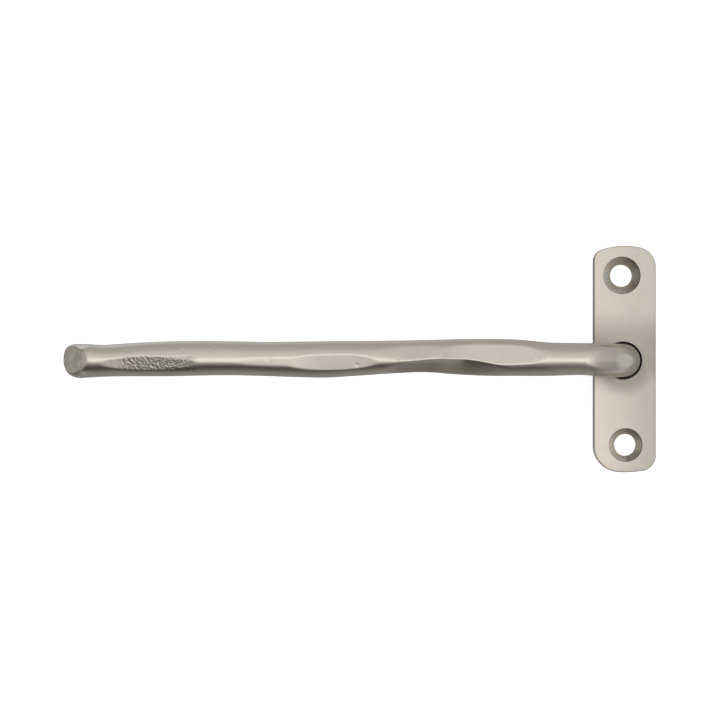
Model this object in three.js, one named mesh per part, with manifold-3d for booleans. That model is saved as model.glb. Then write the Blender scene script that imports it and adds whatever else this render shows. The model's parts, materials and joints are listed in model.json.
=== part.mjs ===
// Casement window stay: a hammered round bar with both ends turned down. One end turns in a
// screwed plate, the other is the pin that drops into a keep on the sill.
//
// Millimetres, +Z out of the window board. The plate's back lies on z = 0, the swivel axis is
// the Z axis through the origin, and the bar runs from it along -X to the hook pin.
import * as THREE from 'three';
import { mergeVertices } from 'three/addons/utils/BufferGeometryUtils.js';
import Module from 'manifold-3d';

const PLATE = {
  width: 14.6,
  height: 53.3,
  thickness: 3.2,
  centre: [0.4, 0.35],
  easedEdge: 0.25,
  top: { crownRadius: 18.2, rightCorner: 4.7, leftCorner: 2.9 },
  bottom: { crownRadius: 26.5, rightCorner: 3.6, leftCorner: 6.1 },
};

// Both screw holes take a 5 mm countersunk wood screw.
const SCREW_HOLE_RADIUS = 2.6;
const SCREW_HOLES = [
  { centre: [-0.3, 20.0], sinkRadius: 4.35 },
  { centre: [0.6, -19.9], sinkRadius: 3.9 },
];

// The pivot runs through a web at the plate's front. Behind the web a recess hides the washer.
const PIVOT_HOLE_RADIUS = 4.4;
const RECESS_RADIUS = 5.8;
const RECESS_DEPTH = 2.05;

const WASHER = { innerRadius: 2.75, outerRadius: 5.4, bottom: 1.1, top: 1.75 };

// The bar's end steps down to a tenon, whose end is spread into a rivet head under the washer.
const TENON_RADIUS = 2.5;
const SHOULDER_Z = 2.3;
const HEAD = { radius: 3.6, top: 0.75, rim: 0.45, bottom: 0.2 };

const STOCK_RADIUS = 4.0;
const SHAFT_RADIUS = 3.8;
const BAR_AXIS_Z = 12.0;
const ELBOW_RADIUS = 8.0;

const HOOK_X = -127.0;
const HOOK_TIP_Z = -10.0;
const HOOK_TIP_CHAMFER = 1.0;
const HOOK_OUTER_ROUNDING = 5.0;
const HOOK_INNER_ROUNDING = 1.2;

// How far the hammered bar reaches either side of its axis: x, reach to +Y, reach to -Y.
const HAMMERED_WIDTHS = [
  [-127.0, 3.9, 4.1],
  [-122.0, 3.65, 3.8],
  [-114.5, 4.1, 3.7],
  [-107.0, 4.45, 3.7],
  [-100.0, 4.55, 3.55],
  [-92.5, 4.5, 3.45],
  [-85.0, 4.35, 3.6],
  [-77.5, 4.4, 3.85],
  [-70.0, 4.5, 4.0],
  [-63.0, 4.55, 3.6],
  [-54.0, 4.65, 3.0],
  [-46.5, 4.8, 2.75],
  [-39.0, 5.0, 3.3],
  [-31.5, 5.05, 3.6],
  [-25.5, 4.9, 3.6],
  [-18.5, 4.25, 3.6],
  [-10.0, 4.05, 3.4],
  [-4.5, 3.95, 3.95],
  [0.0, 3.8, 3.8],
];

// Hammer flats along the bar. roll turns a flat's face from +Z towards +Y, in degrees; reach is
// its distance from the bar's axis at x, climbing by pitch for each millimetre further along;
// crown is how much further it reaches at half its length, and power how late it gets there.
const HAMMER_FLATS = [
  { x: -126.0, roll: 66, reach: 3.78, pitch: 0.12, halfLength: 5.0, crown: 0.6, power: 2 },
  { x: -125.5, roll: -62, reach: 3.75, pitch: 0, halfLength: 3.0, crown: 0.6, power: 2 },
  { x: -110.2, roll: -12, reach: 3.61, pitch: -0.0134, halfLength: 12.3, crown: 0.63, power: 2 },
  { x: -80.3, roll: -6, reach: 3.82, pitch: -0.02, halfLength: 12, crown: 0.08, power: 4 },
  { x: -69, roll: -7.5, reach: 3.36, pitch: 0, halfLength: 9.6, crown: 0.5, power: 2.3 },
  { x: -48.7, roll: 22.5, reach: 3.95, pitch: 0, halfLength: 10.0, crown: 0.5, power: 2 },
  { x: -31.4, roll: 13, reach: 3.28, pitch: 0, halfLength: 12.1, crown: 0.78, power: 3 },
  { x: -38, roll: -33, reach: 2.7, pitch: 0, halfLength: 10, crown: 1.55, power: 1.8 },
  { x: -41.3, roll: -45, reach: 2.6, pitch: 0, halfLength: 12.3, crown: 0.97, power: 2 },
];

// The hook's shoulder is squarer than round on its +Y side, and round again this far along.
const SQUARED_POWER = 0.74;
const SQUARED_LENGTH = 8;

// Flats across the two bends. tilt turns the face from +Z towards +X, in degrees.
const BEND_FLATS = [
  { tilt: -48, through: [-125.6, 15.95] },
  { tilt: 14, through: [-5.0, 15.35] },
  { tilt: 40, through: [-0.3, 12.75] },
];

const ROUND_SIDES = 48;
const BAR_SIDES = 32;

const wasm = await Module();
wasm.setup();

// A closed three.js geometry as a solid, with its shared corners merged.
function solidOf(geometry) {
  geometry.deleteAttribute('normal');
  geometry.deleteAttribute('uv');
  const merged = mergeVertices(geometry, 1e-4);
  const vertProperties = new Float32Array(merged.attributes.position.array);
  const triVerts = new Uint32Array(merged.index.array);
  return new wasm.Manifold(new wasm.Mesh({ numProp: 3, vertProperties, triVerts }));
}

function namedMesh(name, solid, material) {
  const { vertProperties, triVerts } = solid.getMesh();
  const geometry = new THREE.BufferGeometry();
  geometry.setAttribute('position', new THREE.BufferAttribute(vertProperties, 3));
  geometry.setIndex(new THREE.BufferAttribute(triVerts, 1));
  geometry.computeVertexNormals();
  const mesh = new THREE.Mesh(geometry, material);
  mesh.name = name;
  return mesh;
}

// A solid of revolution about Z from [radius, z] corners.
function turned(corners) {
  const profile = corners.map(([radius, z]) => new THREE.Vector2(radius, z));
  return solidOf(new THREE.LatheGeometry(profile, ROUND_SIDES).rotateX(Math.PI / 2));
}

// Straight sides, gently crowned ends and a rounded shoulder of its own at each corner.
function plateOutline() {
  const outline = new THREE.Shape();
  const halfWidth = PLATE.width / 2;
  const { top, bottom } = PLATE;
  const ends = [
    { side: 1, crownRadius: top.crownRadius, radii: [top.rightCorner, top.leftCorner] },
    { side: -1, crownRadius: bottom.crownRadius, radii: [bottom.leftCorner, bottom.rightCorner] },
  ];
  for (const { side, crownRadius, radii } of ends) {
    const turn = side > 0 ? 0 : Math.PI;
    const crownCentre = PLATE.height / 2 - crownRadius;
    const shoulders = radii.map((radius) => {
      const across = halfWidth - radius;
      const up = Math.sqrt((crownRadius - radius) ** 2 - across ** 2);
      return { radius, across, height: crownCentre + up, angle: Math.atan2(up, across) };
    });
    const [first, last] = shoulders;
    outline.absarc(side * first.across, side * first.height, first.radius, turn, turn + first.angle);
    const crownEnd = turn + Math.PI - last.angle;
    outline.absarc(0, side * crownCentre, crownRadius, turn + first.angle, crownEnd);
    outline.absarc(-side * last.across, side * last.height, last.radius, crownEnd, turn + Math.PI);
  }
  outline.closePath();
  return outline;
}

function mountingPlate() {
  const ease = PLATE.easedEdge;
  const blank = new THREE.ExtrudeGeometry(plateOutline(), {
    depth: PLATE.thickness - 2 * ease,
    bevelEnabled: true,
    bevelThickness: ease,
    bevelSize: ease,
    bevelOffset: -ease,
    bevelSegments: 2,
    curveSegments: 7,
  });
  blank.translate(PLATE.centre[0], PLATE.centre[1], ease);
  const past = 1;
  const front = PLATE.thickness + past;
  const pivotHole = turned([[0, -past], [PIVOT_HOLE_RADIUS, -past], [PIVOT_HOLE_RADIUS, front], [0, front]]);
  const recess = turned([
    [0, -past],
    [RECESS_RADIUS, -past],
    [RECESS_RADIUS, RECESS_DEPTH],
    [0, RECESS_DEPTH],
  ]);
  let plate = solidOf(blank).subtract(pivotHole).subtract(recess);
  for (const { centre, sinkRadius } of SCREW_HOLES) {
    const sinkBottom = PLATE.thickness - (sinkRadius - SCREW_HOLE_RADIUS);
    const screwHole = turned([
      [0, -past],
      [SCREW_HOLE_RADIUS, -past],
      [SCREW_HOLE_RADIUS, sinkBottom],
      [sinkRadius + past, front],
      [0, front],
    ]);
    plate = plate.subtract(screwHole.translate([centre[0], centre[1], 0]));
  }
  return plate;
}

function retainingWasher() {
  const { innerRadius, outerRadius, bottom, top } = WASHER;
  const section = [[innerRadius, bottom], [outerRadius, bottom], [outerRadius, top], [innerRadius, top]];
  return turned([...section, section[0]]);
}

// One stop along the bar: place(out) gives the centre plane's x and z at a distance out towards
// the outside of the bends, x picks the hammered width, and size shrinks the section.
function barStops() {
  const stops = [];
  const corner = { x: HOOK_X, z: BAR_AXIS_Z };
  const leg = (z, size = 1) => ({ x: HOOK_X, size, place: (out) => [HOOK_X - out, z] });
  stops.push(leg(HOOK_TIP_Z, 1 - HOOK_TIP_CHAMFER / STOCK_RADIUS));
  stops.push(leg(HOOK_TIP_Z + HOOK_TIP_CHAMFER));
  stops.push(leg(-2));
  stops.push(leg(BAR_AXIS_Z - 7));

  const cornerPlace = (angle) => (out) => {
    const outward = (out / STOCK_RADIUS + 1) / 2;
    const rounding = THREE.MathUtils.lerp(HOOK_INNER_ROUNDING, HOOK_OUTER_ROUNDING, outward);
    const x = corner.x - out + rounding * (1 + Math.cos(angle));
    const z = corner.z + out - rounding * (1 - Math.sin(angle));
    return [x, z];
  };
  const between = (from, to, part) => (out) => {
    const [fromX, fromZ] = from(out);
    const [toX, toZ] = to(out);
    return [THREE.MathUtils.lerp(fromX, toX, part), THREE.MathUtils.lerp(fromZ, toZ, part)];
  };
  const straightStart = HOOK_X + 7;
  const legEnd = stops.at(-1).place;
  for (const part of [0.3, 0.6, 0.85]) {
    stops.push({ x: corner.x, size: 1, place: between(legEnd, cornerPlace(Math.PI), part) });
  }
  const cornerSteps = 8;
  for (let i = 0; i <= cornerSteps; i += 1) {
    const place = cornerPlace(Math.PI * (1 - i / cornerSteps / 2));
    const x = corner.x + (i / cornerSteps) * HOOK_OUTER_ROUNDING / 2;
    stops.push({ x, size: 1, place });
  }
  for (const part of [0.33, 0.67]) {
    const x = THREE.MathUtils.lerp(corner.x + HOOK_OUTER_ROUNDING / 2, straightStart, part);
    const place = between(cornerPlace(Math.PI / 2), (out) => [straightStart, BAR_AXIS_Z + out], part);
    stops.push({ x, size: 1, place });
  }

  const straightEnd = -ELBOW_RADIUS;
  const straightSteps = 46;
  for (let i = 0; i < straightSteps; i += 1) {
    const x = THREE.MathUtils.lerp(straightStart, straightEnd, i / straightSteps);
    stops.push({ x, size: 1, place: (out) => [x, BAR_AXIS_Z + out] });
  }

  const elbowSteps = 10;
  for (let i = 0; i <= elbowSteps; i += 1) {
    const angle = (Math.PI / 2) * (i / elbowSteps);
    const place = (out) => {
      const radius = ELBOW_RADIUS + out;
      return [straightEnd + radius * Math.sin(angle), BAR_AXIS_Z - ELBOW_RADIUS + radius * Math.cos(angle)];
    };
    stops.push({ x: -ELBOW_RADIUS * (1 - Math.sin(angle)), size: 1, place });
  }
  stops.push({ x: 0, size: 1, place: (out) => [out, SHOULDER_Z] });
  return stops;
}

// Presses a point of the bar's surface back onto every flat that it stands out of.
function pressFlats(point) {
  for (const { x, roll, reach, pitch, halfLength, crown, power } of HAMMER_FLATS) {
    const angle = THREE.MathUtils.degToRad(roll);
    const along = point.x - x;
    const limit = reach + pitch * along + crown * Math.abs(along / halfLength) ** power;
    const height = point.y * Math.sin(angle) + (point.z - BAR_AXIS_Z) * Math.cos(angle);
    const proud = Math.max(0, height - limit);
    point.y -= proud * Math.sin(angle);
    point.z -= proud * Math.cos(angle);
  }
  for (const { tilt, through } of BEND_FLATS) {
    const angle = THREE.MathUtils.degToRad(tilt);
    const height = (point.x - through[0]) * Math.sin(angle) + (point.z - through[1]) * Math.cos(angle);
    const proud = Math.max(0, height);
    point.x -= proud * Math.sin(angle);
    point.z -= proud * Math.cos(angle);
  }
}

// Half depth of the bar where it is up and down wide: hammering keeps the stock's section area,
// and the elbow draws it in to the round shaft.
function halfDepth(x, up, down) {
  const drawnIn = THREE.MathUtils.smoothstep(x, -ELBOW_RADIUS, 0);
  return THREE.MathUtils.lerp(STOCK_RADIUS ** 2 / ((up + down) / 2), SHAFT_RADIUS, drawnIn);
}

// The bar is a cylinder of unit radius and length whose rings are carried to the stops.
function stayBar() {
  const stops = barStops();
  const rings = stops.length - 1;
  const geometry = new THREE.CylinderGeometry(1, 1, 1, BAR_SIDES, rings);
  const position = geometry.attributes.position;
  const places = HAMMERED_WIDTHS.map(([x]) => x);
  const widths = new THREE.CubicInterpolant(places, HAMMERED_WIDTHS.flatMap(([, up, down]) => [up, down]), 2);
  const point = new THREE.Vector3();
  for (let i = 0; i < position.count; i += 1) {
    point.fromBufferAttribute(position, i);
    const stop = stops[Math.round((0.5 - point.y) * rings)];
    const [up, down] = widths.evaluate(stop.x);
    const squared = 1 - THREE.MathUtils.smoothstep(stop.x, HOOK_X, HOOK_X + SQUARED_LENGTH);
    const power = point.x > 0 ? THREE.MathUtils.lerp(1, SQUARED_POWER, squared) : 1;
    const side = Math.sign(point.x) * Math.abs(point.x) ** power;
    const front = Math.sign(point.z) * Math.abs(point.z) ** power;
    const [x, z] = stop.place(front * halfDepth(stop.x, up, down) * stop.size);
    point.set(x, side * (side > 0 ? up : down) * stop.size, z);
    pressFlats(point);
    position.setXYZ(i, point.x, point.y, point.z);
  }
  const bar = solidOf(geometry);
  const embed = 0.5;
  const tenon = turned([
    [0, HEAD.bottom],
    [HEAD.radius * 0.6, HEAD.bottom + 0.08],
    [HEAD.radius, HEAD.rim],
    [HEAD.radius, HEAD.top],
    [TENON_RADIUS, HEAD.top],
    [TENON_RADIUS, SHOULDER_Z + embed],
    [0, SHOULDER_Z + embed],
  ]);
  return bar.add(tenon);
}

const satinMetal = (color, roughness) => new THREE.MeshStandardMaterial({ color, roughness, metalness: 1 });

const stay = new THREE.Group();
stay.add(namedMesh('mounting_plate', mountingPlate(), satinMetal(0xc4bdb1, 0.38)));

const turningParts = new THREE.Group();
turningParts.add(namedMesh('retaining_washer', retainingWasher(), satinMetal(0xb4afa6, 0.45)));
turningParts.add(namedMesh('stay_bar', stayBar(), satinMetal(0xc0b9ac, 0.3)));
stay.add(turningParts);

export default stay;
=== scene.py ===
"""A casement window stay: a hammered bar that swivels in a countersunk plate, in satin nickel."""
import json
import math

import bmesh
import bpy
import numpy as np
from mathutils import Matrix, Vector, geometry, noise


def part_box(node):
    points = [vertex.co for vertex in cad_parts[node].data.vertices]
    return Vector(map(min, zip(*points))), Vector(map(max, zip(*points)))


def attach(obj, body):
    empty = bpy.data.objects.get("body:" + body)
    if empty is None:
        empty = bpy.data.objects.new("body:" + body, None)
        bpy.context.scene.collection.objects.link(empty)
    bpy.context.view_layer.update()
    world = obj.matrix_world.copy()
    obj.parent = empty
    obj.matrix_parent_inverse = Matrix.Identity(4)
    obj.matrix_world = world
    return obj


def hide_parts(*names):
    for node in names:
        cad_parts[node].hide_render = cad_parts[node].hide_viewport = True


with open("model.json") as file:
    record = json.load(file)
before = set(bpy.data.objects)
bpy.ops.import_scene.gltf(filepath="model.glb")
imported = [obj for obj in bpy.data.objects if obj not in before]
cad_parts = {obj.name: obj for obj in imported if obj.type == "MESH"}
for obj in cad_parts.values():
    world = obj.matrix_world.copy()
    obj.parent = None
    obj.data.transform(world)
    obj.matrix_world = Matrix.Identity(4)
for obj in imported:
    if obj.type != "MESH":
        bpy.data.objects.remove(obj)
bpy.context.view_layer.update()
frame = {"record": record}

MM = 0.001


def in_mm(point):
    """A point of the frame, which is in metres, in this script's millimetres."""
    return [value / MM for value in point]


# ---- Sizes, in millimetres ---------------------------------------------------------------------

MOUNTS = {mount["name"]: mount for mount in frame["record"]["mounts"]}
HOOK_X, _, HOOK_TIP_Z = in_mm(MOUNTS["hook_tip"]["pos_m"])
PLATE_LOW, PLATE_HIGH = (in_mm(corner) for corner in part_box("mounting_plate"))
WASHER_LOW, WASHER_HIGH = (in_mm(corner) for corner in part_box("retaining_washer"))

PLATE_WIDTH = PLATE_HIGH[0] - PLATE_LOW[0]
PLATE_HEIGHT = PLATE_HIGH[1] - PLATE_LOW[1]
PLATE_CENTRE = [(PLATE_LOW[0] + PLATE_HIGH[0]) / 2, (PLATE_LOW[1] + PLATE_HIGH[1]) / 2]
PLATE_TOP = PLATE_HIGH[2]
PLATE_ENDS = [  # (+1 for the top, crown radius, first and last corner radius anticlockwise)
    (1, 18.2, (4.7, 2.9)),
    (-1, 26.5, (6.1, 3.6)),
]
EASED_EDGE = 0.25
FACE_FALL_WIDTH = 1.1
FACE_FALL = 0.03

SCREW_HOLE_RADIUS = 2.6
SCREW_HOLES = [((-0.3, 20.0), 4.35), ((0.6, -19.9), 3.9)]
PIVOT_HOLE_RADIUS = 4.4
RECESS_RADIUS = 5.8
RECESS_DEPTH = 2.05
SINK_EDGE_WIDTH, SINK_EDGE_DEPTH = 0.06, 0.03
TOOL_MARK_DEPTH, TOOL_MARK_PITCH = 0.01, 0.22
BACK_CHAMFER = 0.25
PIVOT_EDGE = 0.1
RECESS_CHAMFER = 0.15
GUARD = 0.15  # width of the ring round each hole that keeps the flat face's shading flat

WASHER_INNER_RADIUS = 2.75
WASHER_OUTER_RADIUS = (WASHER_HIGH[0] - WASHER_LOW[0]) / 2
WASHER_EDGE = 0.12

STOCK_RADIUS = 4.0
BAR_AXIS_Z = 12.0
ELBOW_RADIUS = 8.0
SHAFT_RADIUS = 3.8
SHOULDER_Z = 2.3
SHOULDER_CHAMFER = 0.15
TENON_RADIUS = 2.5
TENON_FILLET = 0.1
HEAD_RADIUS = 3.6
HEAD_TOP = 0.75
HEAD_RIM = 0.45
HEAD_BOTTOM = 0.2
HEAD_CHAMFER = 0.1
HOOK_OUTER_ROUNDING = 5.0
HOOK_INNER_ROUNDING = 1.2
PIN_TIP_ROUNDING = 1.0
PIN_TOP_Z = BAR_AXIS_Z - 6.2  # from here up the pin bends into the bar
BAR_START_X = HOOK_X + 7.0  # from here on the bar is straight

# How many rings each stretch of the bar's mesh has, and how many corners each ring has.
PIN_RINGS, PIN_BLEND_RINGS = 60, 26
CORNER_RINGS, CORNER_BLEND_RINGS = 40, 30
BAR_RINGS, ELBOW_RINGS = 750, 90
BAR_SIDES = 144

# How far the hammered bar reaches either side of its axis: x, reach to +Y, reach to -Y.
HAMMERED_WIDTHS = np.array([
    (-127.0, 3.9, 4.1),
    (-122.0, 3.65, 3.8),
    (-114.5, 4.1, 3.7),
    (-107.0, 4.45, 3.7),
    (-100.0, 4.55, 3.55),
    (-92.5, 4.5, 3.45),
    (-85.0, 4.35, 3.6),
    (-77.5, 4.4, 3.85),
    (-70.0, 4.5, 4.0),
    (-63.0, 4.55, 3.6),
    (-54.0, 4.65, 3.0),
    (-46.5, 4.8, 2.75),
    (-39.0, 5.0, 3.3),
    (-31.5, 5.05, 3.6),
    (-25.5, 4.9, 3.6),
    (-18.5, 4.25, 3.6),
    (-10.0, 4.05, 3.4),
    (-4.5, 3.95, 3.95),
    (0.0, 3.8, 3.8),
])

# Flats that the hammer left along the bar: x, roll from +Z towards +Y in degrees, distance from
# the bar's axis and its climb for each millimetre along, half length, crown at half length and
# the power it rises with, softness of its edge.
HAMMER_FLATS = [
    (-126.0, 66, 3.78, 0.12, 5.0, 0.6, 2, 0.1),
    (-125.5, -62, 3.75, 0.0, 3.0, 0.6, 2, 0.15),
    (-110.2, -12, 3.61, -0.0134, 12.3, 0.63, 2, 0.1),
    (-80.3, -6, 3.82, -0.02, 12.0, 0.08, 4, 0.1),
    (-69.0, -7.5, 3.36, 0.0, 9.6, 0.5, 2.3, 0.1),
    (-48.7, 22.5, 3.95, 0.0, 10.0, 0.5, 2, 0.3),
    (-31.4, 13, 3.28, 0.0, 12.1, 0.78, 3, 0.12),
    (-38.0, -33, 2.7, 0.0, 10.0, 1.55, 1.8, 0.06),
    (-41.3, -45, 2.6, 0.0, 12.3, 0.97, 2, 0.4),
]

# The hook's shoulder is squarer than round on its +Y side, and round again this far along.
SQUARED_POWER = 0.74
SQUARED_LENGTH = 8.0

# Flats across the bends: tilt from +Z towards +X in degrees, an (x, z) that it passes through,
# softness of its edge.
BEND_FLATS = [
    (-48, (-125.6, 15.95), 1.0),
    (14, (-5.0, 15.35), 0.4),
    (40, (-0.3, 12.75), 0.15),
]

# Small pits in the bar's upper side: x, y, radius, depth.
PITS = [
    (-115.5, 2.2, 0.22, 0.09),
    (-102.7, 2.2, 0.22, 0.09),
    (-96.7, 2.2, 0.2, 0.08),
    (-83.3, 0.35, 0.2, 0.07),
    (-62.6, -1.0, 0.2, 0.07),
    (-53.2, 0.35, 0.2, 0.08),
    (-30.6, -0.1, 0.2, 0.08),
    (-21.4, -0.1, 0.22, 0.08),
    (-19.3, 1.96, 0.22, 0.08),
]

# The first hammer flat is rough like bark: how deep, where it starts, is full and ends along x,
# and its edges along y. Each fade is the width over which it dies out.
BARK_DEPTH = 0.09
BARK_START, BARK_FULL, BARK_END, BARK_END_FADE = -118.5, -115.0, -99.0, 3.0
BARK_LOW, BARK_LOW_FADE = -2.5, 0.5
BARK_HIGH, BARK_HIGH_FADE = 1.2, 0.4

PITTED_ABOVE = 1.5  # pits and bark are only this far above the bar's axis and higher
DENT_DEPTH = 0.05  # shallow dents in the hook's outer end
WAVE_DEPTH = 0.035  # faint waviness all along the bar

# Darker places on the bar's upper side: the first is the bark flat's dull skin, the second (at the elbow)
# and the third are painted shade.
# For each, how much darker, then the fades (from nothing to full, in millimetres) at their left, right,
# upper and lower side.
DULL_AND_SHADED_PLACES = [
    (0.28, (BARK_START, BARK_FULL), (BARK_END, BARK_END - 2), (BARK_HIGH, 0.7), (BARK_LOW, -2.0)),
    (0.26, (-9.5, -7.0), (-0.8, -3.2), (0.3, -0.9), (-2.9, -1.9)),
    (0.3, (-56.0, -52.0), (-41.0, -46.0), (-0.2, -0.9), (-5.0, -4.9)),
]


# ---- Mesh helpers ------------------------------------------------------------------------------

def make_piece(name, vertices, faces, material, body, node):
    """A smooth piece from vertices in millimetres, riding on a body in place of a CAD node."""
    mesh = bpy.data.meshes.new(name)
    mesh.from_pydata([tuple(v) for v in np.asarray(vertices) * MM], [], faces)
    solid = bmesh.new()
    solid.from_mesh(mesh)
    bmesh.ops.recalc_face_normals(solid, faces=solid.faces)
    solid.to_mesh(mesh)
    solid.free()
    mesh.shade_smooth()
    mesh.materials.append(material)
    piece = bpy.data.objects.new(name, mesh)
    bpy.context.scene.collection.objects.link(piece)
    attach(piece, body)
    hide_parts(node)
    return piece


def ring_faces(first, second, count):
    """Quads between two rings of the same count, given the index where each ring starts."""
    faces = []
    for i in range(count):
        j = (i + 1) % count
        faces.append((first + i, second + i, second + j, first + j))
    return faces


def smoothstep(t):
    t = min(max(t, 0.0), 1.0)
    return t * t * (3 - 2 * t)


def smooth_min(a, limit, softness):
    """The lower of a and limit, rounded off where they come within softness of each other."""
    near = np.maximum(softness - np.abs(a - limit), 0)
    return np.minimum(a, limit) - near**2 / (4 * softness)


# ---- The bar -----------------------------------------------------------------------------------

def hammered_widths(x):
    """Reach to +Y and to -Y at x, on a smooth curve through HAMMERED_WIDTHS."""
    places = HAMMERED_WIDTHS[:, 0]
    i = int(np.clip(np.searchsorted(places, x) - 1, 0, len(places) - 2))
    gap = places[i + 1] - places[i]
    t = (x - places[i]) / gap
    rows = HAMMERED_WIDTHS[:, 1:]

    def slope(k):
        low, high = max(k - 1, 0), min(k + 1, len(places) - 1)
        return (rows[high] - rows[low]) / (places[high] - places[low]) * gap

    return (
        rows[i] * (1 + 2 * t) * (1 - t) ** 2
        + slope(i) * t * (1 - t) ** 2
        + rows[i + 1] * t**2 * (3 - 2 * t)
        + slope(i + 1) * t**2 * (t - 1)
    )


def bar_stops():
    """Stops along the bar: (x that picks the widths, size of the section, place(out))."""
    stops = []

    def leg(z, size):
        stops.append((HOOK_X, size, lambda out: (HOOK_X - out, np.full_like(out, z))))

    for size in (0.0, 0.35, 0.68):
        leg(HOOK_TIP_Z, size)
    for angle in np.linspace(0, math.pi / 2, 7):
        z = HOOK_TIP_Z + PIN_TIP_ROUNDING * (1 - math.cos(angle))
        leg(z, 1 - PIN_TIP_ROUNDING / STOCK_RADIUS * (1 - math.sin(angle)))
    for z in np.linspace(HOOK_TIP_Z + PIN_TIP_ROUNDING + 0.2, PIN_TOP_Z, PIN_RINGS):
        leg(z, 1.0)

    def corner(angle):
        """A place round the hook's corner, from pi on the pin to pi / 2 on the bar."""
        def place(out):
            outward = (out / STOCK_RADIUS + 1) / 2
            rounding = HOOK_INNER_ROUNDING + (HOOK_OUTER_ROUNDING - HOOK_INNER_ROUNDING) * outward
            x = HOOK_X - out + rounding * (1 + math.cos(angle))
            z = BAR_AXIS_Z + out - rounding * (1 - math.sin(angle))
            return x, z
        return place

    def straight(x):
        return lambda out: (np.full_like(out, x), BAR_AXIS_Z + out)

    def blend(start, stop, part):
        """A place part of the way from one place to another."""
        def place(out):
            (x1, z1), (x2, z2) = start(out), stop(out)
            return x1 + (x2 - x1) * part, z1 + (z2 - z1) * part
        return place

    leg_end = stops[-1][2]
    for part in np.linspace(0, 1, PIN_BLEND_RINGS)[1:-1]:
        stops.append((HOOK_X, 1.0, blend(leg_end, corner(math.pi), part)))
    corner_end_x = HOOK_X + HOOK_OUTER_ROUNDING / 2
    for part in np.linspace(0, 1, CORNER_RINGS):
        x = HOOK_X + (corner_end_x - HOOK_X) * part
        stops.append((x, 1.0, corner(math.pi * (1 - part / 2))))
    for part in np.linspace(0, 1, CORNER_BLEND_RINGS)[1:-1]:
        x = corner_end_x + (BAR_START_X - corner_end_x) * part
        stops.append((x, 1.0, blend(corner(math.pi / 2), straight(BAR_START_X), part)))
    for x in np.linspace(BAR_START_X, -ELBOW_RADIUS, BAR_RINGS, endpoint=False):
        stops.append((x, 1.0, straight(x)))

    def elbow(angle):
        def place(out):
            radius = ELBOW_RADIUS + out
            x = -ELBOW_RADIUS + radius * math.sin(angle)
            return x, BAR_AXIS_Z - ELBOW_RADIUS + radius * math.cos(angle)
        stops.append((-ELBOW_RADIUS * (1 - math.sin(angle)), 1.0, place))

    for angle in np.linspace(0, math.pi / 2, ELBOW_RINGS):
        elbow(angle)

    def shaft(z, radius):
        size = radius / HAMMERED_WIDTHS[-1, 1]
        stops.append((0.0, size, lambda out: (out, np.full_like(out, z))))

    for z in np.linspace(BAR_AXIS_Z - ELBOW_RADIUS - 0.15, SHOULDER_Z + SHOULDER_CHAMFER, 6):
        shaft(z, SHAFT_RADIUS)
    shaft(SHOULDER_Z, SHAFT_RADIUS - SHOULDER_CHAMFER)
    shaft(SHOULDER_Z, TENON_RADIUS + TENON_FILLET)
    for z in np.linspace(SHOULDER_Z - TENON_FILLET, HEAD_TOP, 8):
        shaft(z, TENON_RADIUS)
    shaft(HEAD_TOP, HEAD_RADIUS - HEAD_CHAMFER)
    shaft(HEAD_TOP - HEAD_CHAMFER, HEAD_RADIUS)
    for angle in np.linspace(0, math.pi / 2, 10):
        z = HEAD_RIM - (HEAD_RIM - HEAD_BOTTOM) * math.sin(angle)
        shaft(z, HEAD_RADIUS * math.cos(angle) ** 0.5)
    return stops


def press_flats(points):
    """Presses the hammer's flats, and those across the bends, into the bar."""
    x, y, z = points[..., 0], points[..., 1], points[..., 2]
    for place, roll, reach, pitch, half_length, crown, power, softness in HAMMER_FLATS:
        angle = math.radians(roll)
        along = x - place
        limit = reach + pitch * along + crown * np.abs(along / half_length) ** power
        height = y * math.sin(angle) + (z - BAR_AXIS_Z) * math.cos(angle)
        proud = height - smooth_min(height, limit, softness)
        y -= proud * math.sin(angle)
        z -= proud * math.cos(angle)
    for tilt, (through_x, through_z), softness in BEND_FLATS:
        angle = math.radians(tilt)
        height = (x - through_x) * math.sin(angle) + (z - through_z) * math.cos(angle)
        proud = height - smooth_min(height, 0.0, softness)
        x -= proud * math.sin(angle)
        z -= proud * math.cos(angle)


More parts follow.
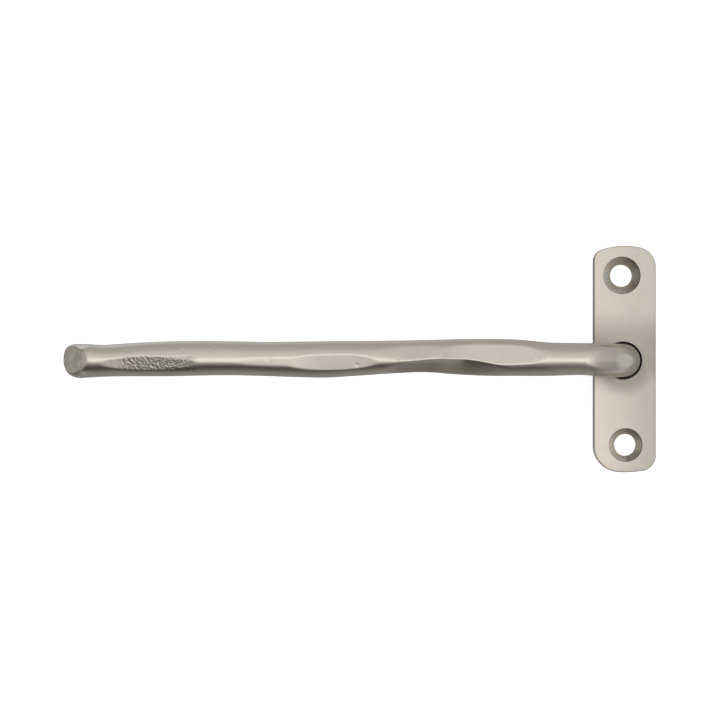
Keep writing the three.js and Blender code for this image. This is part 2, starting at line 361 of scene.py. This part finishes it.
def wear(points):
    """Works pits, bark, dents and a faint waviness into the bar's skin, all of them inwards."""
    x, y, z = points[..., 0], points[..., 1], points[..., 2]
    upper = z > BAR_AXIS_Z + PITTED_ABOVE
    depth = np.zeros_like(x)
    for px, py, radius, pit_depth in PITS:
        depth += pit_depth * np.exp(-((x - px) ** 2 + (y - py) ** 2) / (2 * radius**2))
    ramp_in = np.clip((x - BARK_START) / (BARK_FULL - BARK_START), 0, 1)
    ramp_out = np.clip((BARK_END - x) / BARK_END_FADE, 0, 1)
    across = np.clip((BARK_HIGH - y) / BARK_HIGH_FADE, 0, 1)
    across = across * np.clip((y - BARK_LOW) / BARK_LOW_FADE, 0, 1)
    rough = BARK_DEPTH * ramp_in * ramp_out * across
    for i in zip(*np.nonzero(upper & (rough > 0))):
        # Two layers of noise on slanted, unequally stretched axes, so that the bark runs slantwise.
        warp = noise.noise(Vector((0.8 * x[i], 0.8 * y[i], 5.0)))
        u = (x[i] + y[i]) * 1.9 + warp
        v = (x[i] - y[i]) * 1.2 - warp
        bark = noise.noise(Vector((u, v, 3.0))) + 0.7 * noise.noise(Vector((2.3 * u, 2.3 * v, 9.0)))
        depth[i] += rough[i] * max(0.0, 0.5 + bark)
    z -= np.where(upper, depth, 0)
    # Each wear's fade is 2 or 3 mm long, so that it leaves no step in the skin.
    dented = np.clip((HOOK_X + 1 - x) / 2, 0, 1) * np.clip((z - BAR_AXIS_Z + 2) / 2, 0, 1)
    for i in zip(*np.nonzero(dented)):
        dent = 1 + noise.noise(Vector((x[i] / 2.5, y[i] / 2.0, z[i] / 2.5)))
        x[i] += DENT_DEPTH * dented[i] * dent
    wavy = np.clip((x - HOOK_X - 4.6) / 3, 0, 1) * np.clip((-ELBOW_RADIUS - x) / 3, 0, 1)
    for i in zip(*np.nonzero(wavy)):
        wave = 0.5 + 0.5 * noise.noise(Vector((x[i] / 5.0, y[i] / 4.0, z[i] / 4.0)))
        shrink = 1 - WAVE_DEPTH * wavy[i] * wave / STOCK_RADIUS
        y[i] *= shrink
        z[i] = BAR_AXIS_Z + (z[i] - BAR_AXIS_Z) * shrink


def stay_bar(material):
    """Pin, bar, elbow, shaft, tenon and rivet head in one skin of rings from tip to foot."""
    sides = BAR_SIDES
    turn = np.linspace(0, 2 * math.pi, sides, endpoint=False)
    side, front = np.sin(turn), np.cos(turn)
    rings = []
    for x, size, place in bar_stops():
        up, down = hammered_widths(x)
        drawn_in = smoothstep((x + ELBOW_RADIUS) / ELBOW_RADIUS)
        half_depth = STOCK_RADIUS**2 / ((up + down) / 2) * (1 - drawn_in) + SHAFT_RADIUS * drawn_in
        squared = 1 - smoothstep((x - HOOK_X) / SQUARED_LENGTH)
        power = np.where(side > 0, 1 + (SQUARED_POWER - 1) * squared, 1)
        px, pz = place(np.sign(front) * np.abs(front) ** power * half_depth * size)
        py = np.sign(side) * np.abs(side) ** power * np.where(side > 0, up, down) * size
        rings.append(np.stack([px, py, pz], axis=-1))
    points = np.array(rings)
    press_flats(points)
    wear(points)
    count = len(rings)
    faces = []
    for i in range(1, count - 2):
        faces += ring_faces(i * sides, (i + 1) * sides, sides)
    vertices = list(points.reshape(-1, 3))
    tip, foot = len(vertices), len(vertices) + 1
    vertices += [points[0].mean(axis=0), points[-1].mean(axis=0)]
    for i in range(sides):
        j = (i + 1) % sides
        faces.append((tip, sides + j, sides + i))
        faces.append((foot, (count - 2) * sides + i, (count - 2) * sides + j))
    used = sorted({k for face in faces for k in face})
    place_of = {k: n for n, k in enumerate(used)}
    faces = [tuple(place_of[k] for k in face) for face in faces]
    vertices = [vertices[k] for k in used]
    return make_piece("hammered_bar", vertices, faces, material, "bar", "stay_bar")


# ---- The plate ---------------------------------------------------------------------------------

def plate_outline(inset):
    """The plate's outline, inset millimetres inside its edge, anticlockwise from its right side."""
    half_width = PLATE_WIDTH / 2
    points = []
    ends = []
    for end, crown_radius, radii in PLATE_ENDS:
        crown_centre = PLATE_HEIGHT / 2 - crown_radius
        shoulders = []
        for radius in radii:
            across = half_width - radius
            up = math.sqrt((crown_radius - radius) ** 2 - across**2)
            shoulders.append((radius, across, crown_centre + up, math.atan2(up, across)))
        ends.append((end, crown_radius, crown_centre, shoulders))
    for k, (end, crown_radius, crown_centre, shoulders) in enumerate(ends):
        turn = 0 if end > 0 else math.pi
        (r1, a1, h1, t1), (r2, a2, h2, t2) = shoulders
        arcs = [
            (a1, h1, r1, 0.0, t1, 26),
            (0.0, crown_centre, crown_radius, t1, math.pi - t2, 28),
            (-a2, h2, r2, math.pi - t2, math.pi, 26),
        ]
        for cx, cy, radius, start, stop, steps in arcs:
            for angle in np.linspace(start, stop, steps, endpoint=False) + (stop - start) / steps / 2:
                x = end * cx + (radius - inset) * math.cos(angle + turn)
                y = end * cy + (radius - inset) * math.sin(angle + turn)
                points.append((x + PLATE_CENTRE[0], y + PLATE_CENTRE[1]))
        side_x = -end * (half_width - inset)
        next_shoulder = ends[1 - k][3][0]
        for y in np.linspace(end * h2, -end * next_shoulder[2], 30):
            points.append((side_x + PLATE_CENTRE[0], y + PLATE_CENTRE[1]))
    return np.array(points)


def circle(centre, radius, count):
    turn = np.linspace(0, 2 * math.pi, count, endpoint=False)
    return np.stack([centre[0] + radius * np.cos(turn), centre[1] + radius * np.sin(turn)], axis=-1)


class Shell:
    """Collects rings and flat faces of one closed mesh."""

    def __init__(self):
        self.vertices = []
        self.faces = []

    def ring(self, outline, z):
        start = len(self.vertices)
        self.vertices += [(x, y, z) for x, y in outline]
        return start

    def wall(self, outlines_and_heights):
        """Joins rings of equal count one after the other and returns the first and last start."""
        starts = [self.ring(outline, z) for outline, z in outlines_and_heights]
        count = len(outlines_and_heights[0][0])
        for a, b in zip(starts, starts[1:]):
            self.faces += ring_faces(a, b, count)
        return (starts[0], count), (starts[-1], count)

    def flat(self, rims, facing_up):
        """Fills the flat face between an outer rim and the rims of holes in it."""
        def rim_points(start, count):
            return np.array([self.vertices[start + i][:2] for i in range(count)])

        index = [start + i for start, count in rims for i in range(count)]
        flat_points = [Vector(self.vertices[k][:2]) for k in index]
        edges, offset = [], 0
        for _, count in rims:
            edges += [(offset + i, offset + (i + 1) % count) for i in range(count)]
            offset += count
        result = geometry.delaunay_2d_cdt(flat_points, edges, [], 0, 1e-7)
        outer, *holes = [rim_points(*rim) for rim in rims]
        for face in result[2]:
            corners = [result[3][k][0] for k in face]
            centre = np.mean([flat_points[c] for c in corners], axis=0)
            if not inside(centre, outer) or any(inside(centre, hole) for hole in holes):
                continue
            a, b, c = (flat_points[k] for k in corners)
            anticlockwise = (b - a).cross(c - a) > 0
            if anticlockwise != facing_up:
                corners.reverse()
            self.faces.append(tuple(index[k] for k in corners))


def inside(point, outline):
    """Whether a point is inside a closed outline, by the sides that a ray to its right crosses."""
    x, y = point
    ax, ay = outline[:, 0], outline[:, 1]
    bx, by = np.roll(ax, -1), np.roll(ay, -1)
    spans = (ay > y) != (by > y)
    with np.errstate(divide="ignore", invalid="ignore"):
        crossing = ax + (y - ay) / (by - ay) * (bx - ax)
    return bool(np.count_nonzero(spans & (x < crossing)) % 2)


def mounting_plate(material):
    """The plate with its eased edges, two countersunk holes, and the pivot's hole and recess."""
    shell = Shell()
    profile = [(FACE_FALL_WIDTH + 0.1, PLATE_TOP)]
    for inset in np.linspace(FACE_FALL_WIDTH, EASED_EDGE, 10):
        fall = FACE_FALL * ((FACE_FALL_WIDTH - inset) / (FACE_FALL_WIDTH - EASED_EDGE)) ** 2
        profile.append((inset, PLATE_TOP - fall))
    edge_top = PLATE_TOP - FACE_FALL
    for angle in np.linspace(0, math.pi / 2, 9)[1:]:
        inset = EASED_EDGE * (1 - math.sin(angle))
        profile.append((inset, edge_top - EASED_EDGE * (1 - math.cos(angle))))
    for angle in np.linspace(math.pi / 2, 0, 6):
        profile.append((EASED_EDGE * (1 - math.sin(angle)), EASED_EDGE * (1 - math.cos(angle))))
    front_rim, back_rim = shell.wall([(plate_outline(inset), z) for inset, z in profile])
    front_holes, back_holes = [], []

    def bore(centre, steps, count=128):
        """A hole's wall from the front face to the back one, from (radius, z) steps."""
        steps = [(steps[0][0] + GUARD, steps[0][1]), *steps, (steps[-1][0] + GUARD, steps[-1][1])]
        rings = [(circle(centre, radius, count)[::-1], z) for radius, z in steps]
        first, last = shell.wall(rings)
        front_holes.append(first)
        back_holes.append(last)

    for centre, sink_radius in SCREW_HOLES:
        rim_z = PLATE_TOP - SINK_EDGE_DEPTH
        steps = [(sink_radius + SINK_EDGE_WIDTH, PLATE_TOP), (sink_radius, rim_z)]
        depth = sink_radius - SCREW_HOLE_RADIUS
        for down in np.linspace(0.02, 1, 60) * depth:
            ripple = TOOL_MARK_DEPTH * math.sin(down / TOOL_MARK_PITCH * 2 * math.pi)
            steps.append((sink_radius - down + ripple, rim_z - down))
        steps += [(SCREW_HOLE_RADIUS, BACK_CHAMFER), (SCREW_HOLE_RADIUS + BACK_CHAMFER, 0.0)]
        bore(centre, steps)
    pivot = []
    for angle in np.linspace(0, math.pi / 2, 6):
        radius = PIVOT_HOLE_RADIUS + PIVOT_EDGE * (1 - math.sin(angle))
        pivot.append((radius, PLATE_TOP - PIVOT_EDGE * (1 - math.cos(angle))))
    pivot += [
        (PIVOT_HOLE_RADIUS, RECESS_DEPTH + PIVOT_EDGE),
        (PIVOT_HOLE_RADIUS + PIVOT_EDGE, RECESS_DEPTH),
        (RECESS_RADIUS - PIVOT_EDGE, RECESS_DEPTH),
        (RECESS_RADIUS, RECESS_DEPTH - PIVOT_EDGE),
        (RECESS_RADIUS, RECESS_CHAMFER),
        (RECESS_RADIUS + RECESS_CHAMFER, 0.0),
    ]
    bore((0.0, 0.0), pivot)
    shell.flat([front_rim, *front_holes], facing_up=True)
    shell.flat([back_rim, *back_holes], facing_up=False)
    return make_piece(
        "screw_plate", shell.vertices, shell.faces, material, "plate", "mounting_plate"
    )


def retaining_washer(material):
    """A ring with chamfered edges, closed round its section."""
    shell = Shell()
    low, high = WASHER_LOW[2], WASHER_HIGH[2]
    inner, outer, ease = WASHER_INNER_RADIUS, WASHER_OUTER_RADIUS, WASHER_EDGE
    section = [
        (inner, low + ease), (inner + ease, low), (outer - ease, low), (outer, low + ease),
        (outer, high - ease), (outer - ease, high), (inner + ease, high), (inner, high - ease),
    ]
    count = 96
    starts = [shell.ring(circle((0.0, 0.0), radius, count), z) for radius, z in section]
    for a, b in zip(starts, starts[1:] + starts[:1]):
        shell.faces += [face[::-1] for face in ring_faces(b, a, count)]
    return make_piece(
        "rivet_washer", shell.vertices, shell.faces, material, "pivot", "retaining_washer",
    )


# ---- Materials ---------------------------------------------------------------------------------

class Nodes:
    """A short way to add nodes to a material's or world's tree."""

    def __init__(self, tree):
        self.tree = tree

    def add(self, kind, inputs=None, **settings):
        node = self.tree.nodes.new(kind)
        for key, value in settings.items():
            setattr(node, key, value)
        for key, value in (inputs or {}).items():
            if isinstance(value, bpy.types.NodeSocket):
                self.tree.links.new(value, node.inputs[key])
            else:
                node.inputs[key].default_value = value
        return node

    def math(self, operation, *values):
        return self.add("ShaderNodeMath", dict(enumerate(values)), operation=operation).outputs[0]

    def ease(self, value, fade, low, high):
        """Eases from low to high while value goes from one end of the fade to the other."""
        start, stop = fade
        ends = {"From Min": start, "From Max": stop, "To Min": low, "To Max": high}
        node = self.add("ShaderNodeMapRange", {"Value": value, **ends}, interpolation_type="SMOOTHSTEP")
        return node.outputs[0]

    def step(self, value, fade, low, high):
        """The same for a length on the object, with the fade in millimetres."""
        return self.ease(value, [end * MM for end in fade], low, high)

    def split(self, vector):
        return self.add("ShaderNodeSeparateXYZ", {"Vector": vector}).outputs

    def clouds(self, place, scale, detail):
        node = self.add("ShaderNodeTexNoise", {"Vector": place, "Scale": scale, "Detail": detail})
        return node.outputs["Fac"]

    def mix(self, factor, a, b):
        node = self.add("ShaderNodeMix", data_type="RGBA")
        for socket, value in (("Factor_Float", factor), ("A_Color", a), ("B_Color", b)):
            target = next(item for item in node.inputs if item.identifier == socket)
            if isinstance(value, bpy.types.NodeSocket):
                self.tree.links.new(value, target)
            else:
                target.default_value = value
        return next(item for item in node.outputs if item.identifier == "Result_Color")

    def ramp(self, value, stops):
        node = self.add("ShaderNodeValToRGB", {"Fac": value})
        elements = node.color_ramp.elements
        while len(elements) < len(stops):
            elements.new(0.5)
        for element, (position, colour) in zip(elements, stops):
            element.position = position
            element.color = (*colour, 1.0)
        return node.outputs["Color"]


NICKEL = (0.66, 0.609, 0.526)
SPECKLE = 0.06  # how much the roughness varies
GRAIN_HEIGHT = 0.02

# Tones, each a factor on the nickel's colour, and the millimetres between which they fade.
# Painted shade: the plate darker in a band round the bar, from y -6 to 13 mm, where the bar's shadow and
# dark reflection fall.
BAR_SHADE_TONE, BAR_SHADE_ABOVE, BAR_SHADE_BELOW = 0.7, (5.0, 13.0), (-1.0, -6.0)
# Painted shade: the plate darker round the pivot hole, under the bar's end and its shaft.
HALO_TONE, HALO, HALO_CENTRE = 0.62, (4.2, 8.4), (0.0, -1.2 * MM, 0.0)
# Painted light: the plate's face paler at its left and darker at its right, as the studio's light falls
# off.
SLANT, SLANT_X, SLANT_Y = (-0.17, -0.05), (-7.0, 7.5), (-6.0, 8.0)  # from paler left to darker right
# Painted shade: a dark line on the plate's eased left edge.
LEFT_EDGE_TONE, LEFT_EDGE = 0.5, (PLATE_LOW[0] + 0.1, PLATE_LOW[0] + 0.3)
# Painted shade: the pivot hole's wall darkened almost to black.
BORE_SHADE_TONE, PIVOT_RIM = 0.04, (PIVOT_HOLE_RADIUS + 0.02, PIVOT_HOLE_RADIUS + 0.08)
FACE_FADE = (PLATE_TOP - 0.03, PLATE_TOP - 0.01)
SINKS_END_X, SINKS_END_Y = (5.1, 5.4), (24.6, 24.9)
TOOL_RING_TONE, TOOL_RING_PITCH = 0.13, 0.52
# Painted shade in each countersink: a dark line at its rim, and the rest of it a little darker.
RIM_LINE_TONES, RIM_LINE = (0.5, 0.93), (PLATE_TOP - 0.02, PLATE_TOP - 0.2)
# Painted light and shade in each countersink: the left side lit paler, the right and upper side shaded
# darker.
SINK_TONES = [(1.9, 0.42), (1.5, 0.8)]  # at the left and the right of each countersink
SINK_TOP_TONE, SINK_SHADE_SPAN = 0.58, 4.0
SINK_ROUGHNESS_CHANGE = -0.2
# Painted shade: the shaft dark where it goes down into the plate's hole.
SHAFT_SHADE_TONE, SHAFT_SHADE_END = 0.05, (PLATE_TOP - 0.1, PLATE_TOP + 0.5)
PAST_SHAFT = (-5.0, -6.0)
HOOK_STAINS = 0.9
# Painted shade on the washer's upper face, in the recess behind the plate.
WASHER_SHADE_TONE = 0.08


def satin_nickel(name, colour, roughness, grain, tone, roughness_change=None):
    """Satin nickel with clouding, fine grain, a factor on its colour and a change of roughness."""
    material = bpy.data.materials.new(name)
    material.use_nodes = True
    nodes = Nodes(material.node_tree)
    shader = material.node_tree.nodes["Principled BSDF"]
    shader.inputs["Metallic"].default_value = 1.0
    place = nodes.add("ShaderNodeTexCoord").outputs["Object"]
    dark, pale = [c * 0.97 for c in colour], [c * 1.02 for c in colour]
    clouded = nodes.ramp(nodes.clouds(place, 160.0, 4.0), [(0.3, dark), (0.7, pale)])
    toned = {0: clouded, 1: tone(nodes, place)}
    shade = nodes.add("ShaderNodeVectorMath", toned, operation="MULTIPLY").outputs[0]
    material.node_tree.links.new(shade, shader.inputs["Base Color"])
    speckle = nodes.clouds(place, 700.0, 2.0)
    rough = nodes.math("MULTIPLY_ADD", speckle, SPECKLE, roughness - SPECKLE / 2)
    if roughness_change:
        rough = nodes.math("ADD", rough, roughness_change(nodes, place))
    material.node_tree.links.new(rough, shader.inputs["Roughness"])
    fine = nodes.clouds(place, 2000.0, 2.0)
    bump = nodes.add("ShaderNodeBump", {"Height": fine, "Strength": grain, "Distance": GRAIN_HEIGHT * MM})
    material.node_tree.links.new(bump.outputs["Normal"], shader.inputs["Normal"])
    return material


def plate_tone(nodes, place):
    """Painted light and shade on the plate's face, painted shade in its bore, and tool marks with painted
    light and shade in its countersinks.
    """
    x, y, z = nodes.split(place)
    on_plate = nodes.math("MULTIPLY", plate_painted_light_and_shade(nodes, x, y), bore_painted_shade(nodes, x, y, z))
    on_face = nodes.step(z, FACE_FADE, 0.0, 1.0)
    past_sinks = nodes.math(
        "MAXIMUM",
        nodes.step(nodes.math("ABSOLUTE", x), SINKS_END_X, 0.0, 1.0),
        nodes.step(nodes.math("ABSOLUTE", y), SINKS_END_Y, 0.0, 1.0),
    )
    outside = nodes.math("MAXIMUM", on_face, past_sinks)
    tool_rings_with_sink_light_and_shade = nodes.math("MULTIPLY", tool_rings_and_rim_shade(nodes, z), sink_painted_light_and_shade(nodes, x, y))
    sinks = nodes.math("MULTIPLY_ADD", outside, nodes.math("SUBTRACT", 1.0, tool_rings_with_sink_light_and_shade), tool_rings_with_sink_light_and_shade)
    return nodes.math("MULTIPLY", on_plate, sinks)


def plate_painted_light_and_shade(nodes, x, y):
    """Painted shade round the bar and the pivot, painted light from a paler left to a darker right, and a
    painted dark line along the left edge.
    """
    # Painted shade of the bar on the plate, above and below it.
    above = nodes.step(y, BAR_SHADE_ABOVE, BAR_SHADE_TONE, 1.0)
    below = nodes.step(y, BAR_SHADE_BELOW, BAR_SHADE_TONE, 1.0)
    band = nodes.math("MAXIMUM", above, below)
    # Painted shade round the pivot hole.
    from_halo = {0: nodes.add("ShaderNodeCombineXYZ", {"X": x, "Y": y}).outputs[0], 1: HALO_CENTRE}
    distance = nodes.add("ShaderNodeVectorMath", from_halo, operation="DISTANCE").outputs["Value"]
    halo = nodes.step(distance, HALO, HALO_TONE, 1.0)
    # Painted light falling off from the plate's left to its right.
    across = nodes.step(x, SLANT_X, -1.0, 1.0)
    slant = nodes.math("MULTIPLY_ADD", across, nodes.step(y, SLANT_Y, *SLANT), 1.0)
    even = nodes.math("MULTIPLY", nodes.math("MINIMUM", band, halo), slant)
    return nodes.math("MULTIPLY", even, nodes.step(x, LEFT_EDGE, LEFT_EDGE_TONE, 1.0))


def bore_painted_shade(nodes, x, y, z):
    """Painted shade on the wall of the pivot hole, between the plate's face and the recess."""
    flat_place = nodes.add("ShaderNodeCombineXYZ", {"X": x, "Y": y}).outputs[0]
    radius = nodes.add("ShaderNodeVectorMath", {0: flat_place}, operation="LENGTH").outputs["Value"]
    past_rim = nodes.step(radius, PIVOT_RIM, BORE_SHADE_TONE, 1.0)
    behind = nodes.step(z, (RECESS_DEPTH, RECESS_DEPTH - 0.3), 0.0, 1.0)
    return nodes.math("MAXIMUM", past_rim, behind)


def tool_rings_and_rim_shade(nodes, z):
    """Rings that the countersink's cutter left, and painted shade: a dark line at its rim and the rest a
    little darker.
    """
    rings = nodes.math("SINE", nodes.math("MULTIPLY", z, 2 * math.pi / (TOOL_RING_PITCH * MM)))
    return nodes.math("MULTIPLY_ADD", rings, TOOL_RING_TONE, nodes.step(z, RIM_LINE, *RIM_LINE_TONES))


def sink_painted_light_and_shade(nodes, x, y):
    """Painted light and shade in each countersink: its left part paler, its right and upper part darker.
    """
    upper, lower = (
        nodes.math(
            "MULTIPLY",
            nodes.step(x, (centre_x - SINK_SHADE_SPAN, centre_x + SINK_SHADE_SPAN), *tones),
            nodes.step(y, (centre_y, centre_y + SINK_SHADE_SPAN), 1.0, SINK_TOP_TONE),
        )
        for ((centre_x, centre_y), _), tones in zip(SCREW_HOLES, SINK_TONES)
    )
    in_upper = nodes.math("GREATER_THAN", y, 0.0)
    return nodes.math("MULTIPLY_ADD", in_upper, nodes.math("SUBTRACT", upper, lower), lower)


def plate_roughness(nodes, place):
    """The countersinks are turned smoother than the plate's face."""
    _, _, z = nodes.split(place)
    return nodes.step(z, (PLATE_TOP - 0.3, PLATE_TOP - SINK_EDGE_DEPTH), SINK_ROUGHNESS_CHANGE, 0.0)


def bar_tone(nodes, place):
    """Painted shade on the shaft below the plate's face and in two places on the bar, a dull bark flat,
    and stains at the hook's end.
    """
    x, y, z = nodes.split(place)
    # Painted shade on the shaft inside the pivot hole.
    on_shaft = nodes.step(z, SHAFT_SHADE_END, SHAFT_SHADE_TONE, 1.0)
    along_bar = nodes.step(x, PAST_SHAFT, 0.0, 1.0)
    tone = nodes.math("MAXIMUM", on_shaft, along_bar)
    upper = nodes.step(z, (BAR_AXIS_Z - 2.0, BAR_AXIS_Z), 0.0, 1.0)
    # The elbow's and the third place's darkening is painted shade; the bark's is its dull skin.
    for darker, *fades in DULL_AND_SHADED_PLACES:
        darkened = upper
        for value, fade in zip((x, x, y, y), fades):
            darkened = nodes.math("MULTIPLY", darkened, nodes.step(value, fade, 0.0, 1.0))
        tone = nodes.math("MULTIPLY", tone, nodes.math("MULTIPLY_ADD", darkened, -darker, 1.0))
    stains = nodes.math("SUBTRACT", nodes.clouds(place, 400.0, 2.0), 0.5)
    on_hook = nodes.step(x, (HOOK_X + 3.0, HOOK_X + 1.5), 0.0, HOOK_STAINS)
    return nodes.math("MULTIPLY", tone, nodes.math("MULTIPLY_ADD", on_hook, stains, 1.0))


def washer_tone(nodes, place):
    """Painted shade on the washer's upper face."""
    _, _, z = nodes.split(place)
    return nodes.step(z, (WASHER_HIGH[2] - 0.2, WASHER_HIGH[2] - 0.02), 1.0, WASHER_SHADE_TONE)


# ---- Studio ------------------------------------------------------------------------------------

# Light by its angle above the camera's side, in degrees: 0 is behind the camera, 90 overhead.
# LEVELS hold for the middle of the studio and RIGHT_LEVELS from a little way right of it.
LEVELS = [
    (-180, 0.36), (-150, 0.34), (-122, 0.33), (-108, 0.30), (-95, 0.25), (-78, 0.115), (-66, 0.07),
    (-55, 0.035), (-44, 0.10), (-36, 0.2), (-28, 0.31), (-20, 0.52), (-15, 0.76), (-7, 1.18), (2, 1.4),
    (10, 1.22), (18, 0.94), (28, 0.84), (41, 0.82), (53, 0.70), (66, 0.57), (81, 0.53), (98, 0.50),
    (122, 0.49), (150, 0.5), (180, 0.4),
]
RIGHT_LEVELS = [
    (-180, 0.4), (-124, 0.33), (-101, 0.34), (-81, 0.36), (-62, 0.40), (-43, 0.54), (-24, 0.88),
    (-9, 1.35), (3, 1.5), (10, 1.15), (18, 0.92), (28, 0.85), (40, 0.8), (52, 0.74), (67, 0.62),
    (83, 0.54), (110, 0.5), (180, 0.4),
]

# A direction's x, where light changes from LEVELS to RIGHT_LEVELS, and where the studio's two
# sides fade in and are full, with the light of each side.
RIGHT_LEVELS_FADE = (0.074, 0.112)
SIDES = [
    ((0.18, 0.6), (0.53, 0.53, 0.525, 1)),
    ((-0.25, -0.8), (0.2, 0.2, 0.2, 1)),
]

# Cards in the studio: the direction they stand in, half angles where they fade in and are full,
# and their light.
CARDS = [
    ((-0.4, 0.7, -0.6), (32, 12), (0.72, 0.75, 0.80, 1)),
    ((0.6, 0.0, -0.8), (52, 26), (0.34, 0.34, 0.34, 1)),
    ((1.0, 0.0, 0.14), (38, 14), (0.66, 0.68, 0.72, 1)),
    ((-0.87, 0.0, 0.5), (36, 22), (0.48, 0.48, 0.465, 1)),
    ((-0.93, 0.0, -0.37), (24, 10), (0.44, 0.44, 0.43, 1)),
]

FLOOR_HALF_WIDTH = 3000.0
FLOOR_GAP = 0.5  # between the floor and the hook pin's tip
CAMERA_PLACE = (-61.92, 0.12, 565.0)  # straight above the bar's middle
LENS = 119.4
SENSOR_WIDTH = 36.0


def warm_shade(level):
    """The colour of a level of light, warmer the darker it is."""
    warmth = 0.3 * max(0.3 - level, 0)
    return level * (1 + warmth), level, level * (1 - 1.5 * warmth)


def studio_light():
    """Soft light from all round, brightest from behind the camera, with a dark side below it."""
    world = bpy.data.worlds.new("studio")
    bpy.context.scene.world = world
    world.use_nodes = True
    tree = world.node_tree
    tree.nodes.clear()
    nodes = Nodes(tree)
    direction = nodes.add("ShaderNodeTexCoord").outputs["Generated"]
    x, y, z = nodes.split(direction)
    turn = nodes.math("MULTIPLY_ADD", nodes.math("ARCTAN2", y, z), 1 / (2 * math.pi), 0.5)
    middle, right = (
        nodes.ramp(turn, [(angle / 360 + 0.5, warm_shade(level)) for angle, level in levels])
        for levels in (LEVELS, RIGHT_LEVELS)
    )
    light = nodes.mix(nodes.ease(x, RIGHT_LEVELS_FADE, 0.0, 1.0), middle, right)
    for fade, side_light in SIDES:
        light = nodes.mix(nodes.ease(x, fade, 0.0, 1.0), light, side_light)
    for toward, half_angles, card_light in CARDS:
        towards = {0: direction, 1: Vector(toward).normalized()}
        facing = nodes.add("ShaderNodeVectorMath", towards, operation="DOT_PRODUCT").outputs["Value"]
        fade = [math.cos(math.radians(angle)) for angle in half_angles]
        light = nodes.mix(nodes.ease(facing, fade, 0.0, 1.0), light, card_light)
    seen = nodes.add("ShaderNodeLightPath").outputs["Is Camera Ray"]
    background = nodes.add("ShaderNodeBackground", {"Color": nodes.mix(seen, light, (1, 1, 1, 1))})
    output = nodes.add("ShaderNodeOutputWorld")
    tree.links.new(background.outputs[0], output.inputs[0])


def pale_floor():
    """A plain floor just below the hook pin, pale by its own glow and left out of reflections."""
    material = bpy.data.materials.new("pale_floor")
    material.use_nodes = True
    shader = material.node_tree.nodes["Principled BSDF"]
    shader.inputs["Base Color"].default_value = (0.85, 0.85, 0.85, 1)
    shader.inputs["Roughness"].default_value = 1.0
    shader.inputs["Specular IOR Level"].default_value = 0.0
    shader.inputs["Emission Color"].default_value = (1, 1, 1, 1)
    shader.inputs["Emission Strength"].default_value = 0.7
    half, z = FLOOR_HALF_WIDTH * MM, (HOOK_TIP_Z - FLOOR_GAP) * MM
    corners = [(-half, -half, z), (half, -half, z), (half, half, z), (-half, half, z)]
    mesh = bpy.data.meshes.new("floor")
    mesh.from_pydata(corners, [], [(0, 1, 2, 3)])
    mesh.materials.append(material)
    floor = bpy.data.objects.new("floor", mesh)
    floor.visible_glossy = False
    bpy.context.scene.collection.objects.link(floor)


def camera():
    """Looks straight down, as a new camera does without being turned."""
    data = bpy.data.cameras.new("camera")
    data.sensor_width = SENSOR_WIDTH
    data.lens = LENS
    data.clip_start, data.clip_end = 0.01, 20
    view = bpy.data.objects.new("camera", data)
    view.location = [value * MM for value in CAMERA_PLACE]
    bpy.context.scene.collection.objects.link(view)
    bpy.context.scene.camera = view


# ---- The scene ---------------------------------------------------------------------------------

bpy.context.scene.view_settings.view_transform = "Standard"
camera()
studio_light()
pale_floor()

plate_colour = [c * 0.96 for c in NICKEL]
washer_colour = [c * 0.85 for c in NICKEL]
mounting_plate(satin_nickel("plate_nickel", plate_colour, 0.40, 0.3, plate_tone, plate_roughness))
stay_bar(satin_nickel("bar_nickel", NICKEL, 0.25, 0.15, bar_tone))
retaining_washer(satin_nickel("washer_nickel", washer_colour, 0.45, 0.3, washer_tone))
